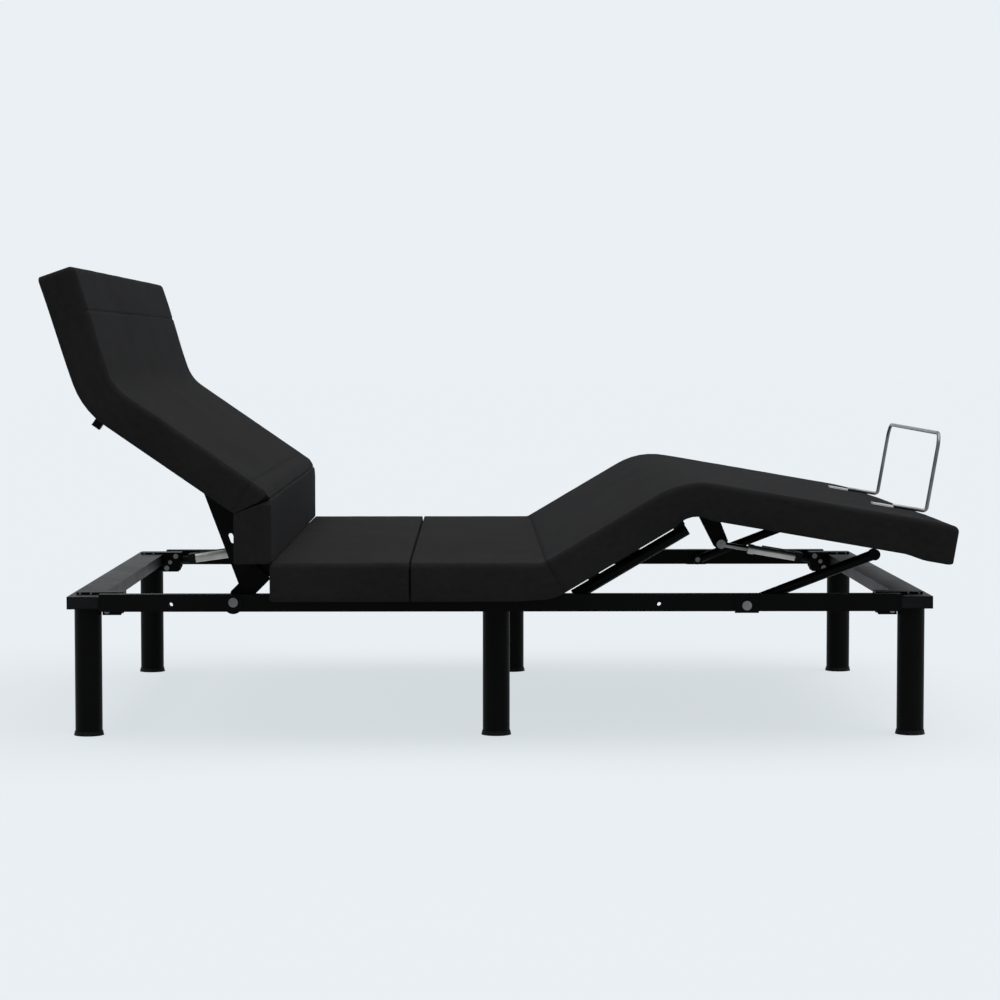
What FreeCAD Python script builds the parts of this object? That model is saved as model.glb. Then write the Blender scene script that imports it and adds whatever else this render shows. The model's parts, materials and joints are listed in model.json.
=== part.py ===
"""Adjustable bed base: a folding upholstered deck on a black steel frame.

X runs from the head end to the foot end, Y from the sleeper's right to the sleeper's left, Z up.
The origin is on the floor under the middle of the frame. Lengths are millimetres, angles degrees.
The deck is modelled raised: pillow and head up, lumbar upright, knees up.
"""
import FreeCAD, Part
import math
import os
import Sketcher

Vector = FreeCAD.Vector
Placement = FreeCAD.Placement
Rotation = FreeCAD.Rotation
Y_AXIS = Vector(0, 1, 0)

doc = FreeCAD.newDocument("adjustable_bed_base")
sheet = doc.addObject("Spreadsheet::Sheet", "sizes")

DIMENSIONS = {
    # steel frame
    "frame_length": 1738.8, "frame_width": 1236, "crossbar_width": 64, "crossbar_height": 25,
    "crossbar_bottom": 262, "rail_bottom": 257, "rail_height": 35, "rail_thickness": 25, "tube_wall": 2,
    "middle_bar_width": 45, "middle_bar_head_x": -8, "middle_bar_foot_x": 41,
    "rail_hole_radius": 4.5, "rail_hole_head_x": -661, "rail_hole_foot_x": 319, "rail_hole_z": 271,
    # legs
    "leg_diameter": 55, "leg_x": 836, "leg_y": 549, "foot_height": 9, "foot_diameter": 61, "plug_height": 20,
    # deck sections
    "deck_width": 1510, "deck_top": 365.4, "deck_thickness": 73, "board_thickness": 18, "board_inset": 8,
    "end_gap": 1, "rod_depth": 6, "rod_gap": 6.5, "barrel_drop": 7,
    "seat_head_x": -456.5, "seat_split_x": -178.8, "seat_foot_x": 83.75,
    "lumbar_length": 98.6, "head_length": 330.5, "pillow_length": 249, "thigh_length": 295.3,
    "calf_length": 518,
    "lumbar_angle": 90, "head_angle": 34.6, "pillow_angle": 70.7, "thigh_angle": 30.7, "calf_angle": 9.8,
    # piano hinges
    "hinge_width": 1100, "knuckle_pitch": 100, "knuckle_play": 0.5, "hinge_leaf": 1.8,
    "rod_knuckle_radius": 4.2, "barrel_knuckle_radius": 5, "hinge_pin_radius": 2.2, "pin_play": 0.06,
    "leaf_reach": 50,
    # lifting arms
    "plate_thickness": 4, "plate_y": 562, "link_thickness": 6, "link_y": 573, "link_radius": 15.8,
    "link_length": 66, "link_end": 81.5, "link_angle": 45, "head_pivot_x": -535.5, "head_pivot_z": 276,
    "arm_pivot_x": 494.6, "arm_pivot_z": 269, "arm_radius": 10.5, "arm_y": 580, "arm_length": 279,
    "arm_angle": 20.9, "thigh_tube_radius": 12.5, "thigh_tube_y": 568, "thigh_tube_drop": 18.5,
    "pivot_bolt_radius": 6, "pivot_head_radius": 9.5, "boss_radius": 19.5, "boss_thickness": 3,
    "saddle_length": 48, "saddle_height": 38, "boss_drop": 4, "arm_end_rim": 0.5,
    "link_half_width": 19.5, "link_flange_start": 8, "link_flange_depth": 9,
    "link_flange_thickness": 3, "link_rivet_radius": 7, "link_rivet_height": 2,
    "plate_slot_radius": 4.5, "plate_slot_half": 6, "plate_slot_tilt": -35,
    "thigh_tube_start": 18, "thigh_tube_end_gap": 12, "thigh_spacer_near": 60, "thigh_spacer_far": 260,
    # stops that the pillow section lies on when it is flat
    "stop_y": 600, "stop_width": 20, "stop_depth": 27, "stop_head_end": 317, "stop_pillow_end": 335,
    "stop_play": 1,
    # actuators
    "actuator_y": 540, "actuator_tube_radius": 10.5, "actuator_rod_radius": 6.5, "rod_play": 0.08,
    "motor_radius": 12, "motor_length": 95, "motor_y_offset": 34, "gearbox_length": 16,
    "gearbox_rim": 3, "neck_radius": 8.8,
    "eye_radius": 11, "eye_hole_radius": 5, "eye_width": 14, "tip_head_radius": 4, "tip_head_height": 2,
    "head_tail_x": -788, "head_tail_z": 268, "foot_tail_x": 788, "foot_tail_z": 269,
    "head_rod_showing": 78, "foot_rod_showing": 66, "head_pin_x": 103.7, "head_pin_z": -112,
    "foot_pin_x": 194.3, "foot_pin_z": -105.4, "gearbox_offset": 44,
    "bore_start": 45, "rod_start": 58, "collar_length": 14, "collar_rim": 1.5,
    # corner brackets
    "bracket_width": 42, "bracket_wall": 4, "bracket_inner_x": 762, "bracket_outer_x": 858,
    "bracket_bottom": 245, "bracket_top": 291.5, "bracket_chamfer": 6,
    "bolt_head_radius": 6, "bolt_head_height": 4, "small_bolt_radius": 2,
    "upper_bolt_inset": 12, "lower_bolt_inset": 34, "bolt_edge_gap": 9, "top_bolt_drop": 2.25,
    "first_top_bolt": 30, "second_top_bolt": 8, "tail_pin_reach": 2,
    # mattress retainer bar
    "wire_radius": 4, "retainer_width": 690, "retainer_height": 171, "retainer_foot_length": 72,
    "retainer_x": 517, "retainer_bend": 32, "retainer_corner": 8, "retainer_lift": 1, "clip_lift": 0.5,
    "clip_length": 44, "clip_width": 30, "clip_thickness": 4,
}
for row, (alias, value) in enumerate(DIMENSIONS.items(), start=1):
    sheet.set("A%d" % row, alias)
    sheet.set("B%d" % row, str(value))
    sheet.setAlias("B%d" % row, alias)
doc.recompute()

subparts = []


def size(alias):
    """The value of one driving dimension."""
    return float(sheet.get(alias))


def bind(target, **expressions):
    """Tie the target's properties to expressions of the driving dimensions."""
    for prop, expression in expressions.items():
        words = expression.replace("$", "sizes.")
        target.setExpression(prop, words)


def keep(piece, label):
    """Name a finished sub-part and list it for writing."""
    piece.Label = label
    subparts.append(piece)
    return piece


def section_frame(origin_x, origin_z, slope, y=0.0):
    """A frame in the XZ plane whose X axis rises by slope degrees."""
    return Placement(Vector(origin_x, y, origin_z), Rotation(Y_AXIS, -slope))


def at(frame, x, z, y=0.0):
    """A frame's own point, moved there, with the frame's rotation kept."""
    return frame.multiply(Placement(Vector(x, y, z), Rotation()))


def box(name, frame, low, length, width, height):
    """A block whose low corner is at a frame's own point; its three sizes are expressions."""
    block = doc.addObject("Part::Box", name)
    bind(block, Length=length, Width=width, Height=height)
    block.Placement = frame.multiply(Placement(Vector(*low), Rotation()))
    return block


def rod(name, frame, start, direction, radius, height):
    """A cylinder from a frame's own point along a direction."""
    bar = doc.addObject("Part::Cylinder", name)
    bind(bar, Radius=radius, Height=height)
    turn = Rotation(Vector(0, 0, 1), Vector(*direction))
    bar.Placement = frame.multiply(Placement(Vector(*start), turn))
    return bar


def fuse(name, pieces):
    """One solid from touching pieces."""
    joined = doc.addObject("Part::MultiFuse", name)
    joined.Shapes = pieces
    joined.Refine = True
    return joined


def cut(name, base, tool):
    """The base with the tool's volume taken out."""
    left = doc.addObject("Part::Cut", name)
    left.Base = base
    left.Tool = tool
    return left


def group(name, pieces):
    """Several separate identical solids in one sub-part."""
    bundle = doc.addObject("Part::Compound", name)
    bundle.Links = pieces
    return bundle


def origin_plane(body, role):
    """A body's own origin plane or axis."""
    return [item for item in body.Origin.OriginFeatures if item.Role == role][0]


def draw_outline(sketch, points):
    """A closed outline of straight edges."""
    count = len(points)
    for index in range(count):
        start = Vector(points[index][0], points[index][1], 0)
        end = Vector(points[(index + 1) % count][0], points[(index + 1) % count][1], 0)
        sketch.addGeometry(Part.LineSegment(start, end), False)
    for index in range(count):
        sketch.addConstraint(Sketcher.Constraint("Coincident", index, 2, (index + 1) % count, 1))


def sketch_on(body, role, name):
    """A new sketch on one of the body's own origin planes."""
    sketch = body.newObject("Sketcher::SketchObject", name)
    sketch.AttachmentSupport = [(origin_plane(body, role), "")]
    sketch.MapMode = "FlatFace"
    return sketch


def plate(name, frame, outline, thickness, holes=(), slots=()):
    """A flat plate lying in the frame's XZ plane, centred on its Y.

    Each round hole is (x, z, radius); each slot is (x, z, radius, half_length, tilt in degrees).
    """
    body = doc.addObject("PartDesign::Body", name)
    profile = sketch_on(body, "XZ_Plane", name + "_profile")
    draw_outline(profile, outline)
    pad = body.newObject("PartDesign::Pad", name + "_pad")
    pad.Profile = profile
    pad.Midplane = True
    bind(pad, Length=thickness)
    if holes or slots:
        drilled = sketch_on(body, "XZ_Plane", name + "_holes")
        for x, z, radius in holes:
            drilled.addGeometry(Part.Circle(Vector(x, z, 0), Vector(0, 0, 1), radius), False)
        for slot in slots:
            draw_slot(drilled, *slot)
        pocket = body.newObject("PartDesign::Pocket", name + "_pocket")
        pocket.Profile = drilled
        pocket.Type = 1
        pocket.Midplane = True
    body.Placement = frame
    return body


def draw_slot(sketch, x, z, radius, half_length, tilt):
    """One slot with round ends, its length turned tilt degrees from the X axis."""
    turn = math.radians(tilt)
    along = Vector(math.cos(turn), math.sin(turn), 0)
    across = Vector(-math.sin(turn), math.cos(turn), 0)
    middle = Vector(x, z, 0)
    first = sketch.GeometryCount
    for sign in (1, -1):
        centre = middle + along * (sign * half_length)
        start = turn - sign * math.pi / 2
        ring = Part.Circle(centre, Vector(0, 0, 1), radius)
        sketch.addGeometry(Part.ArcOfCircle(ring, start, start + math.pi), False)
    for sign in (1, -1):
        side = across * (sign * radius)
        far = middle + along * (sign * half_length) + side
        near = middle - along * (sign * half_length) + side
        sketch.addGeometry(Part.LineSegment(far, near), False)
    for arc, edge in ((first, first + 2), (first + 1, first + 3)):
        sketch.addConstraint(Sketcher.Constraint("Coincident", edge, 1, arc, 2))
    for arc, edge in ((first + 1, first + 2), (first, first + 3)):
        sketch.addConstraint(Sketcher.Constraint("Coincident", edge, 2, arc, 1))


def half_round(radius, steps=8):
    """Points round the -X half of a circle about the origin, from its low point to its high point."""
    points = []
    for step in range(steps + 1):
        angle = math.radians(90 + 180 * step / steps)
        points.append((radius * math.cos(angle), radius * math.sin(angle)))
    return points[::-1]


WORLD = Placement()
half_length = size("frame_length") / 2
half_width = size("frame_width") / 2
rail_inner_y = half_width - size("rail_thickness")
rail_end_x = half_length - size("crossbar_width")
SIDES = (("left", 1), ("right", -1))


# ---------------------------------------------------------------- steel frame

def hollow_bar(name, low, length, width, height, along):
    """A square tube, open at both ends, running along X or Y."""
    wall = size("tube_wall")
    outer = box(name + "_outer", WORLD, low, length, width, height)
    inset = " - 2 * $tube_wall"
    if along == "X":
        inner_low = (low[0], low[1] + wall, low[2] + wall)
        inner = box(name + "_bore", WORLD, inner_low, length, width + inset, height + inset)
    else:
        inner_low = (low[0] + wall, low[1], low[2] + wall)
        inner = box(name + "_bore", WORLD, inner_low, length + inset, width, height + inset)
    return cut(name + "_tube", outer, inner)


def crossbars():
    for end, low_x in (("head", -half_length), ("foot", rail_end_x)):
        low = (low_x, -half_width, size("crossbar_bottom"))
        bar = hollow_bar(end + "_crossbar", low, "$crossbar_width", "$frame_width", "$crossbar_height", "Y")
        keep(bar, end + "_crossbar")
    for end in ("head", "foot"):
        name = "middle_crossbar_" + end
        low_x = size("middle_bar_%s_x" % end) - size("middle_bar_width") / 2
        low = (low_x, -rail_inner_y, size("crossbar_bottom"))
        span = "$frame_width - 2 * $rail_thickness"
        keep(hollow_bar(name, low, "$middle_bar_width", span, "$crossbar_height", "Y"), name)


def side_rail(side, sign):
    """A side rail with the head-arm boss and the calf-arm saddle welded on its outer face.

    Two accessory holes go through the right rail only.
    """
    name = "side_rail_" + side
    low_y = rail_inner_y if sign > 0 else -half_width
    low = (-rail_end_x, low_y, size("rail_bottom"))
    length = "$frame_length - 2 * $crossbar_width"
    tube = hollow_bar(name, low, length, "$rail_thickness", "$rail_height", "X")
    outer_y = sign * half_width
    boss_start = (size("head_pivot_x"), outer_y, size("head_pivot_z") - size("boss_drop"))
    boss = rod(name + "_boss", WORLD, boss_start, (0, sign, 0), "$boss_radius", "$boss_thickness")
    saddle_y = outer_y if sign > 0 else outer_y - size("boss_thickness")
    rail_top = size("rail_bottom") + size("rail_height")
    saddle_low = (size("arm_pivot_x") - size("saddle_length") / 2, saddle_y,
                  rail_top - size("saddle_height"))
    saddle = box(name + "_saddle", WORLD, saddle_low, "$saddle_length", "$boss_thickness",
                 "$saddle_height")
    rail = fuse(name + "_welded", [tube, boss, saddle])
    holes = []
    bolt_bore = "$pivot_bolt_radius + $pin_play"
    bores = [("head_pivot", size("head_pivot_x"), size("head_pivot_z"), bolt_bore),
             ("arm_pivot", size("arm_pivot_x"), size("arm_pivot_z"), bolt_bore)]
    if side == "right":
        bores += [("head_hole", size("rail_hole_head_x"), size("rail_hole_z"), "$rail_hole_radius"),
                  ("foot_hole", size("rail_hole_foot_x"), size("rail_hole_z"), "$rail_hole_radius")]
    for label, x, z, radius in bores:
        start = (x, sign * (rail_inner_y - size("rail_thickness")), z)
        holes.append(rod(name + "_" + label, WORLD, start, (0, sign, 0), radius, "3 * $rail_thickness"))
    keep(cut(name, rail, fuse(name + "_bores", holes)), name)


def end_caps():
    """Flat plastic plugs that close the four open crossbar ends."""
    caps = []
    thickness = size("boss_thickness")
    wall = size("tube_wall")
    for low_x in (-half_length, rail_end_x):
        for side, sign in SIDES:
            low_y = half_width - thickness if sign > 0 else -half_width
            low = (low_x + wall, low_y, size("crossbar_bottom") + wall)
            caps.append(box("crossbar_plug", WORLD, low, "$crossbar_width - 2 * $tube_wall",
                            "$boss_thickness", "$crossbar_height - 2 * $tube_wall"))
    keep(group("crossbar_end_caps", caps), "crossbar_end_caps")


def legs():
    """Six tube legs and the flared feet pushed into them."""
    places = {"head_left": (-size("leg_x"), 1), "head_right": (-size("leg_x"), -1),
              "middle_left": (size("middle_bar_foot_x"), 1),
              "middle_right": (size("middle_bar_head_x"), -1),
              "foot_left": (size("leg_x"), 1), "foot_right": (size("leg_x"), -1)}
    feet = []
    for label, (x, sign) in places.items():
        y = sign * size("leg_y")
        base = (x, y, size("foot_height"))
        tall = "$crossbar_bottom - $foot_height"
        outer = rod("leg_outer", WORLD, base, (0, 0, 1), "$leg_diameter / 2", tall)
        inner = rod("leg_bore", WORLD, base, (0, 0, 1), "$leg_diameter / 2 - $tube_wall",
                    tall + " - 2 * $tube_wall")
        keep(cut("leg_" + label, outer, inner), "leg_" + label)
        flare = doc.addObject("Part::Cone", "foot_flare")
        bind(flare, Radius1="$foot_diameter / 2", Radius2="$leg_diameter / 2 + 1", Height="$foot_height")
        flare.Placement = Placement(Vector(x, y, 0), Rotation())
        plug = rod("foot_plug", WORLD, base, (0, 0, 1), "$leg_diameter / 2 - $tube_wall - $pin_play",
                   "$plug_height")
        feet.append(fuse("foot", [flare, plug]))
    keep(group("leg_feet", feet), "leg_feet")


def corner_brackets():
    """Channel brackets welded over the crossbars, one in each corner; returns their bolt heads."""
    heads = []
    inner_x = size("bracket_inner_x")
    outer_x = size("bracket_outer_x")
    crossbar_top = size("crossbar_bottom") + size("crossbar_height")
    chamfer = size("bracket_chamfer")
    for end, toward in (("head", -1), ("foot", 1)):
        for side, sign in SIDES:
            name = "corner_bracket_%s_%s" % (end, side)
            face_x = rail_end_x * toward
            outline = [(inner_x * toward, size("bracket_bottom") + 2 * chamfer),
                       (inner_x * toward, size("bracket_top")),
                       (outer_x * toward, size("bracket_top")),
                       (outer_x * toward, crossbar_top),
                       (face_x, crossbar_top),
                       (face_x, size("bracket_bottom")),
                       ((inner_x + chamfer) * toward, size("bracket_bottom"))]
            tail_hole = (size(end + "_tail_x"), size(end + "_tail_z"), size("eye_hole_radius"))
            place = Placement(Vector(0, sign * size("actuator_y"), 0), Rotation())
            walls = plate(name + "_channel", place, outline, "$bracket_width", [tail_hole])
            low_x = min(inner_x * toward, (rail_end_x - size("bracket_wall")) * toward)
            reach = "$frame_length / 2 - $crossbar_width - $bracket_wall - $bracket_inner_x + 1"
            low = (low_x - (1 if toward > 0 else 0), -size("bracket_width") / 2 + size("bracket_wall"),
                   size("bracket_bottom") - 1)
            bay = box(name + "_bay", place, low, reach, "$bracket_width - 2 * $bracket_wall",
                      "$bracket_top - $bracket_bottom - $bracket_wall + 1")
            keep(cut(name, walls, bay), name)
            face_y = -size("bracket_width") / 2
            high = size("bracket_top") - size("bolt_edge_gap")
            low_z = size("bracket_bottom") + size("bolt_edge_gap")
            lip = size("bracket_top") - size("top_bolt_drop")
            spots = ((inner_x + size("upper_bolt_inset"), high), (inner_x + size("lower_bolt_inset"), low_z),
                     (outer_x - size("first_top_bolt"), lip), (outer_x - size("second_top_bolt"), lip))
            for x, z in spots:
                start = (x * toward, face_y, z)
                radius = "$small_bolt_radius" if z == lip else "$bolt_head_radius"
                heads.append(rod("bracket_bolt", place, start, (0, -1, 0), radius, "$bolt_head_height"))
    return heads


def pivot_bolts():
    """The four shouldered bolts that carry the lifting arms."""
    bolts = []
    shank = "$boss_thickness + $rail_thickness + %s"
    places = ((size("head_pivot_x"), size("head_pivot_z"), size("link_y") - size("link_thickness") / 2),
              (size("arm_pivot_x"), size("arm_pivot_z"), size("arm_y") - size("arm_radius")))
    for x, z, inner_y in places:
        for side, sign in SIDES:
            outer_y = sign * (half_width + size("boss_thickness"))
            reach = rail_inner_y - inner_y
            length = shank % reach
            stem = rod("pivot_stem", WORLD, (x, outer_y, z), (0, -sign, 0), "$pivot_bolt_radius", length)
            cap = rod("pivot_head", WORLD, (x, outer_y, z), (0, sign, 0), "$pivot_head_radius",
                      "$bolt_head_height")
            bolts.append(fuse("pivot_bolt", [stem, cap]))
    return bolts


def tail_pins():
    """The pins that hold the two actuators' tails in their corner brackets."""
    pins = []
    for end in ("head", "foot"):
        low_y = size("actuator_y") - size("bracket_width") / 2 - size("tail_pin_reach")
        start = (size(end + "_tail_x"), low_y, size(end + "_tail_z"))
        pins.append(rod("tail_pin", WORLD, start, (0, 1, 0), "$eye_hole_radius - $pin_play",
                        "$bracket_width + 2 * $tail_pin_reach"))
    return pins


# ---------------------------------------------------------------- deck sections

def deck_frames():
    """Each section's own frame at its hinge axis, and the two hinges at the far ends."""
    rod_z = size("deck_top") - size("rod_depth")
    under = size("rod_depth") - size("deck_thickness")
    barrel = under - size("barrel_drop")
    top_over_barrel = size("barrel_drop") + size("deck_thickness")
    frames = {"seat": Placement(Vector(0, 0, rod_z), Rotation())}
    frames["lumbar"] = section_frame(size("seat_head_x"), rod_z, -size("lumbar_angle"))
    corner = at(frames["lumbar"], -size("lumbar_length"), barrel).Base
    frames["head"] = section_frame(corner.x, corner.z, -size("head_angle"))
    bend = at(frames["head"], -size("head_length"), top_over_barrel - size("rod_depth")).Base
    frames["pillow"] = section_frame(bend.x, bend.z, -size("pillow_angle"))
    frames["thigh"] = section_frame(size("seat_foot_x"), rod_z, size("thigh_angle"))
    knee = at(frames["thigh"], size("thigh_length"), barrel).Base
    frames["calf"] = section_frame(knee.x, knee.z, -size("calf_angle"))
    return frames


FRAMES = deck_frames()
HEAD_PIN = (size("head_pin_x"), size("head_pin_z"))
FOOT_PIN = (size("foot_pin_x"), size("foot_pin_z"))
ROD_TOP = size("rod_depth")
BARREL_TOP = size("barrel_drop") + size("deck_thickness")


def deck_section(label, frame, low_x, length, top):
    """A foam pad on a plywood board; low_x is the end with the smaller X in the section's frame."""
    deck_foam(label, frame, low_x, length, top)
    deck_board(label, frame, low_x, length, top)


def deck_foam(label, frame, low_x, length, top):
    """The upholstered pad of one section."""
    foam_low = (low_x, -size("deck_width") / 2, top - size("deck_thickness") + size("board_thickness"))
    foam = box(label + "_cushion", frame, foam_low, length, "$deck_width",
               "$deck_thickness - $board_thickness")
    keep(foam, label + "_cushion")


def deck_board(label, frame, low_x, length, top):
    """The plywood board under one section."""
    board_low = (low_x, -size("deck_width") / 2 + size("board_inset"), top - size("deck_thickness"))
    ply = box(label + "_board", frame, board_low, length, "$deck_width - 2 * $board_inset",
              "$board_thickness")
    keep(ply, label + "_board")


def deck():
    """All seven upholstered sections, each a little short of its hinges."""
    rod_gap = size("rod_gap")
    end_gap = size("end_gap")
    seat = FRAMES["seat"]
    seat_low = size("seat_head_x") + rod_gap
    split = size("seat_split_x")
    deck_foam("seat_head", seat, seat_low, "$seat_split_x - $end_gap - ($seat_head_x + $rod_gap)",
              ROD_TOP)
    deck_foam("seat_foot", seat, split + end_gap,
              "$seat_foot_x - $rod_gap - $seat_split_x - $end_gap", ROD_TOP)
    deck_board("seat", seat, seat_low, "$seat_foot_x - $seat_head_x - 2 * $rod_gap", ROD_TOP)
    deck_section("lumbar", FRAMES["lumbar"], -size("lumbar_length") + end_gap,
                 "$lumbar_length - $rod_gap - $end_gap", ROD_TOP)
    deck_section("head", FRAMES["head"], -size("head_length") + rod_gap,
                 "$head_length - $rod_gap - $end_gap", BARREL_TOP)
    deck_section("pillow", FRAMES["pillow"], -size("pillow_length"), "$pillow_length - $rod_gap", ROD_TOP)
    deck_section("thigh", FRAMES["thigh"], rod_gap, "$thigh_length - $rod_gap - $end_gap", ROD_TOP)
    deck_section("calf", FRAMES["calf"], end_gap, "$calf_length - $end_gap", BARREL_TOP)


# ---------------------------------------------------------------- piano hinges

# Where a knuckle's tab meets it, as shares of the knuckle's radius, and the leaf's edge margin in mm.
TAB_DEPTH = 0.55
TAB_LOW = 0.8
TAB_HIGH = 0.1
LEAF_MARGIN = 0.2

def hinge_half(name, frame, toward, kind, first, count, with_pin):
    """One leaf of a piano hinge about the frame's origin.

    kind "rod" stands the leaf on the section's end face under the top surface; kind "barrel" lays
    it under the board. toward is +1 or -1, the side of the axis that the leaf's section is on.
    """
    leaf = size("hinge_leaf")
    if kind == "rod":
        radius = "$rod_knuckle_radius"
        knuckle = size("rod_knuckle_radius")
        near = size("rod_gap") - leaf
        leaf_box = (near, -size("leaf_reach"), near + leaf, 0)
        tab_box = (knuckle * TAB_DEPTH, -knuckle * TAB_LOW, near + leaf / 2, -knuckle * TAB_HIGH)
    else:
        radius = "$barrel_knuckle_radius"
        knuckle = size("barrel_knuckle_radius")
        near = size("barrel_drop") - leaf
        start_x = size("end_gap") + LEAF_MARGIN
        leaf_box = (start_x, near, size("leaf_reach"), near + leaf)
        tab_box = (start_x, knuckle * TAB_DEPTH, knuckle + leaf, near + leaf / 2)
    pieces = [leaf_strip(name + "_leaf", frame, toward, leaf_box, size("hinge_width"), 0)]
    pitch = size("knuckle_pitch")
    wide = pitch - size("knuckle_play")
    for index in range(count):
        low_y = -size("hinge_width") / 2 + (first + 2 * index) * pitch
        middle = low_y + pitch / 2
        start = (0, middle - wide / 2, 0)
        pieces.append(rod(name + "_knuckle", frame, start, (0, 1, 0), radius,
                          "$knuckle_pitch - $knuckle_play"))
        pieces.append(leaf_strip(name + "_tab", frame, toward, tab_box, wide, middle))
    half = fuse(name + "_solid", pieces)
    start = (0, -size("hinge_width") / 2, 0)
    if with_pin:
        pin = rod(name + "_pin", frame, start, (0, 1, 0), "$hinge_pin_radius", "$hinge_width")
        keep(fuse(name, [half, pin]), name)
    else:
        bore = rod(name + "_bore", frame, start, (0, 1, 0), "$hinge_pin_radius + $pin_play", "$hinge_width")
        keep(cut(name, half, bore), name)


def leaf_strip(name, frame, toward, corners, wide, middle):
    """A flat strip of a hinge half; corners are x0, z0, x1, z1 on the +X side of the axis."""
    x0, z0, x1, z1 = corners
    strip = doc.addObject("Part::Box", name)
    strip.Length = x1 - x0
    strip.Width = wide
    strip.Height = z1 - z0
    low_x = x0 if toward > 0 else -x1
    strip.Placement = frame.multiply(Placement(Vector(low_x, middle - wide / 2, z0), Rotation()))
    return strip


def hinges():
    """Five piano hinges. The parent's half carries the pin; the child's half has the bore."""
    seat = FRAMES["seat"]
    seat_at_head = at(seat, size("seat_head_x"), 0)
    seat_at_foot = at(seat, size("seat_foot_x"), 0)
    under = size("rod_depth") - size("deck_thickness")
    barrel = under - size("barrel_drop")
    lumbar_end = at(FRAMES["lumbar"], -size("lumbar_length"), barrel)
    head_end = at(FRAMES["head"], -size("head_length"), BARREL_TOP - size("rod_depth"))
    thigh_end = at(FRAMES["thigh"], size("thigh_length"), barrel)
    halves = (("lumbar_hinge_seat_leaf", seat_at_head, 1, "rod", True),
              ("lumbar_hinge_lumbar_leaf", FRAMES["lumbar"], -1, "rod", False),
              ("back_hinge_lumbar_leaf", lumbar_end, 1, "barrel", True),
              ("back_hinge_head_leaf", FRAMES["head"], -1, "barrel", False),
              ("pillow_hinge_head_leaf", head_end, 1, "rod", True),
              ("pillow_hinge_pillow_leaf", FRAMES["pillow"], -1, "rod", False),
              ("thigh_hinge_seat_leaf", seat_at_foot, -1, "rod", True),
              ("thigh_hinge_thigh_leaf", FRAMES["thigh"], 1, "rod", False),
              ("knee_hinge_thigh_leaf", thigh_end, -1, "barrel", True),
              ("knee_hinge_calf_leaf", FRAMES["calf"], 1, "barrel", False))
    for name, frame, toward, kind, with_pin in halves:
        first = 0 if with_pin else 1
        count = 6 if with_pin else 5
        hinge_half(name, frame, toward, kind, first, count, with_pin)


# ---------------------------------------------------------------- lifting arms

def head_side_plates():
    """Long slotted plates hanging from the head section's underside, one at each side."""
    underside = size("barrel_drop")
    outline = [(-200, underside), (-18, underside), (2, -12), (34, -44), (53, -73), (65.6, -83.5),
               (117.4, -47.8), (129.9, -65.9), (125.1, -95.9), (112, -122), (98, -131), (-83, -5.2),
               (-196, -5)]
    holes = [(HEAD_PIN[0], HEAD_PIN[1], size("eye_hole_radius") + size("pin_play"))]
    slots = [(22.2, -53.8, size("plate_slot_radius"), size("plate_slot_half"), size("plate_slot_tilt"))]
    for side, sign in SIDES:
        frame = at(FRAMES["head"], 0, 0, sign * size("plate_y"))
        keep(plate("head_side_plate_" + side, frame, outline, "$plate_thickness", holes, slots),
             "head_side_plate_" + side)


def pillow_stops():
    """Two stepped stops under the head board's end, that the pillow board lies on when flat."""
    underside = size("barrel_drop")
    board_end = -size("head_length") + size("rod_gap")
    low = underside - size("stop_depth")
    outline = [(-size("stop_head_end"), underside), (-size("stop_head_end"), low),
               (-size("stop_pillow_end"), low), (-size("stop_pillow_end"), underside - size("stop_play")),
               (board_end, underside - size("stop_play")), (board_end, underside)]
    stops = []
    for side, sign in SIDES:
        frame = at(FRAMES["head"], 0, 0, sign * size("stop_y"))
        stops.append(plate("pillow_stop_" + side, frame, outline, "$stop_width"))
    keep(group("pillow_stops", stops), "pillow_stops")


def head_link_arms():
    """Channel-shaped link arms that swing on the side rails, each with a rivet at its tip."""
    half_width_z = size("link_half_width")
    half_web = size("link_thickness") / 2
    flange_start = size("link_flange_start")
    flange_depth = size("link_flange_depth")
    tip = size("link_end")
    outline = half_round(size("link_radius")) + [(flange_start, half_width_z), (tip, half_width_z),
                                                 (tip, -half_width_z), (flange_start, -half_width_z)]
    pivot_hole = size("pivot_bolt_radius") + size("pin_play")
    for side, sign in SIDES:
        name = "head_link_arm_" + side
        frame = section_frame(size("head_pivot_x"), size("head_pivot_z"), size("link_angle"),
                              sign * size("link_y"))
        pieces = [plate(name + "_web", frame, outline, "$link_thickness", [(0, 0, pivot_hole)])]
        low_y = 0 if sign > 0 else -half_web - flange_depth
        for low_z in (-half_width_z, half_width_z - size("link_flange_thickness")):
            pieces.append(box(name + "_flange", frame, (flange_start, low_y, low_z),
                              "$link_end - $link_flange_start",
                              "$link_thickness / 2 + $link_flange_depth", "$link_flange_thickness"))
        rivet_start = (size("link_length"), -half_web - size("link_rivet_height"), 0)
        pieces.append(rod(name + "_rivet", frame, rivet_start, (0, 1, 0), "$link_rivet_radius",
                          "$link_thickness + 2 * $link_rivet_height"))
        keep(fuse(name, pieces), name)


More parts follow.
